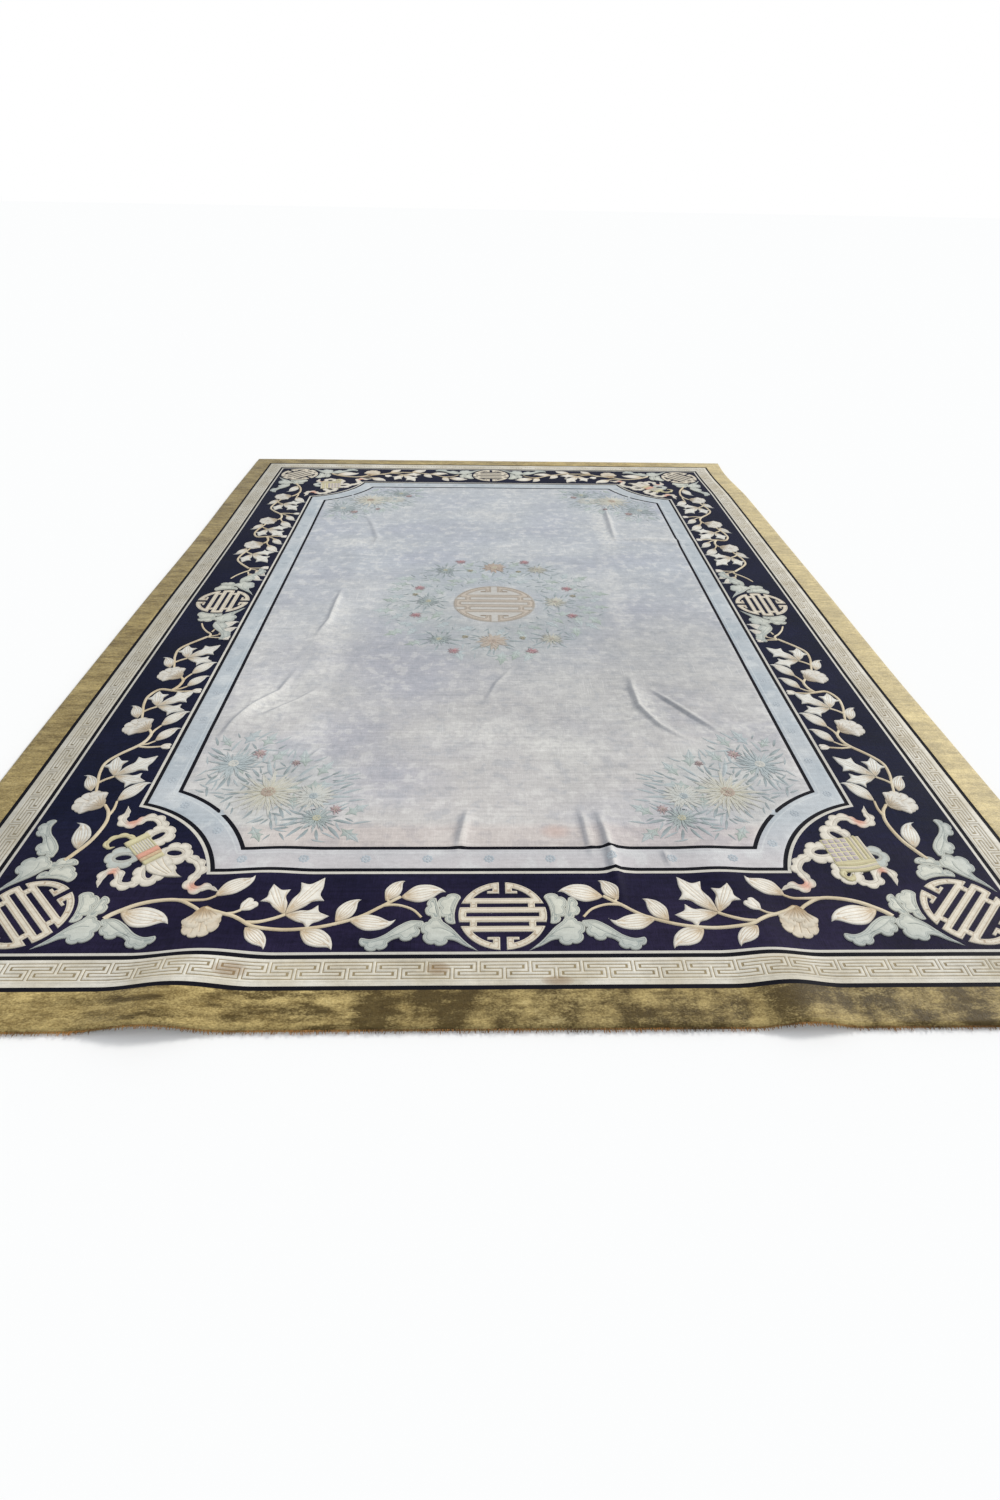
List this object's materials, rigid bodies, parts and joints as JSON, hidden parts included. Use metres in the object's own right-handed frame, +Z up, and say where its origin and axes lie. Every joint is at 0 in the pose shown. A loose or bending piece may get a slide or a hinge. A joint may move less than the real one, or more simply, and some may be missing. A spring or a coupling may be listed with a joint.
{
  "type": "silk rug",
  "caption": "Large rectangular carved-pile silk rug with a plain outer border, a fretwork band, a dark floral border and a pale field with notched corners.",
  "frame": {"origin": "middle of the rug's underside, on the floor", "axes": "+X across the width, +Y along the length away from the rippled end, +Z up out of the pile"},
  "size_m": [3.05, 4.27, 0.0355],
  "materials": {
    "silk_field": "satin",
    "silk_navy": "satin",
    "silk_cream": "satin",
    "silk_celadon": "satin",
    "silk_olive": "satin"
  },
  "bodies": {
    "root": {"rug": "silk_field"}
  },
  "joints": []
}
